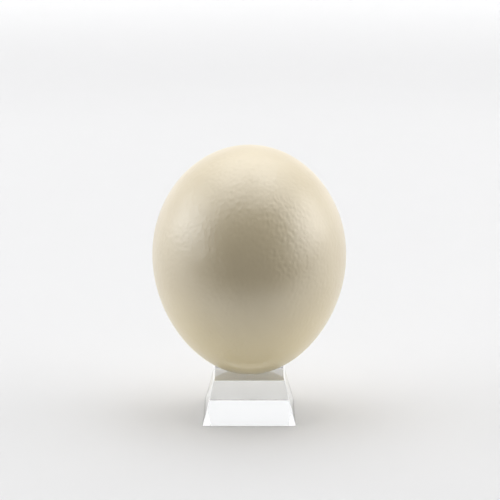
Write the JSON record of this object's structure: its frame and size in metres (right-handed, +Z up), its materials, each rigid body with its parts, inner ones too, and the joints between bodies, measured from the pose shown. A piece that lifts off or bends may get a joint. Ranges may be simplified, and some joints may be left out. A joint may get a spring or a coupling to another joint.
{
  "type": "ostrich egg on a clear block stand",
  "caption": "Whole cream ostrich egg with pitted shell, narrow end down, resting in a shallow dish on a clear tapered square block stand.",
  "frame": {"origin": "middle of the stand's underside, on the surface that the piece stands on", "axes": "+Z up along the egg's long axis, from the stand to the egg's blunt end; X and Y square to the stand's sides"},
  "size_m": [0.1254, 0.1254, 0.1772],
  "materials": {
    "eggshell": "satin",
    "clear_acrylic": "polished"
  },
  "bodies": {
    "root": {"egg": "eggshell", "stand": "clear_acrylic"}
  },
  "joints": []
}
